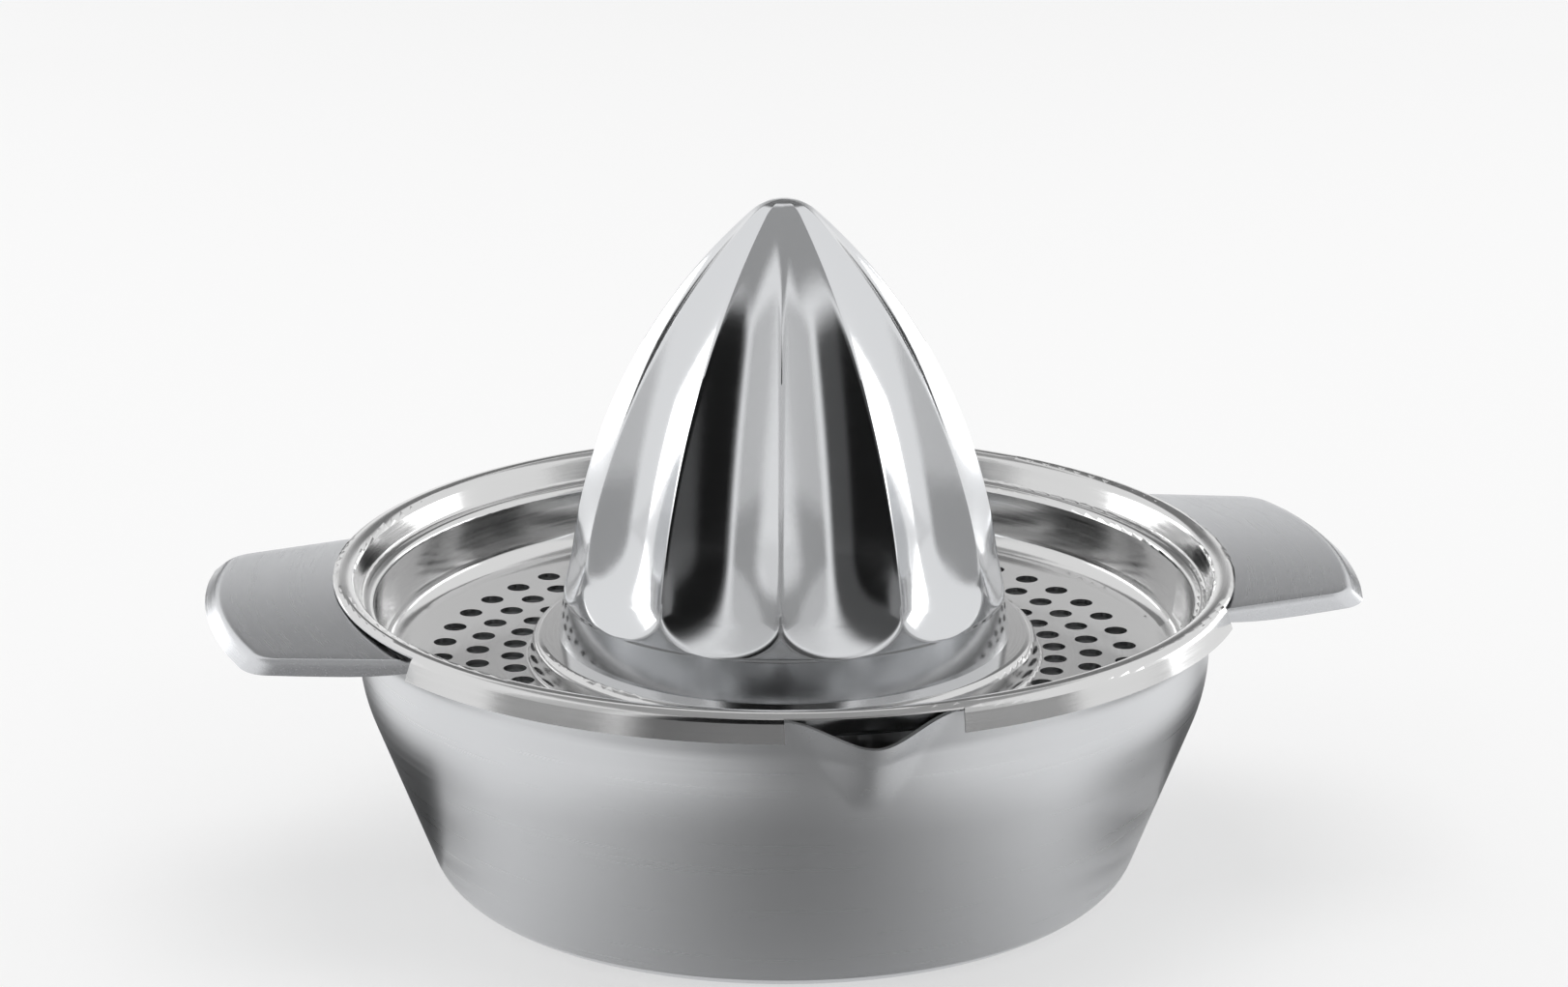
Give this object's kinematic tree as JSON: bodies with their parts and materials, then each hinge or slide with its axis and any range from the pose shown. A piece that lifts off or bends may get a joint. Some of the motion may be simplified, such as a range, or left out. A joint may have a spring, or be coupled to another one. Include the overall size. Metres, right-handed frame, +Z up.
{
  "type": "citrus press",
  "caption": "Steel hand citrus press: a bowl with a pouring spout and tab handles, and a lift-off perforated strainer that carries a fluted reaming cone.",
  "frame": {"origin": "centre of the bowl's flat foot, on the surface it stands on", "axes": "+Z up along the bowl's axis, -Y towards the pouring spout, +X and -X towards the two handles"},
  "size_m": [0.1678, 0.1335, 0.101],
  "materials": {
    "bowl_steel": "satin, brushed around the axis",
    "handle_steel": "satin",
    "strainer_steel": "bright satin with a polished rim",
    "polished_steel": "mirror polished"
  },
  "bodies": {
    "bowl": {"bowl": "bowl_steel", "handle_left": "handle_steel", "handle_right": "handle_steel"},
    "insert": {"strainer": "strainer_steel", "reaming_cone": "polished_steel"}
  },
  "joints": [
    {"name": "insert_lift", "type": "slide", "parent": "bowl", "child": "insert", "axis": [0, 0, 1], "range_m": [0, 0.075]}
  ]
}
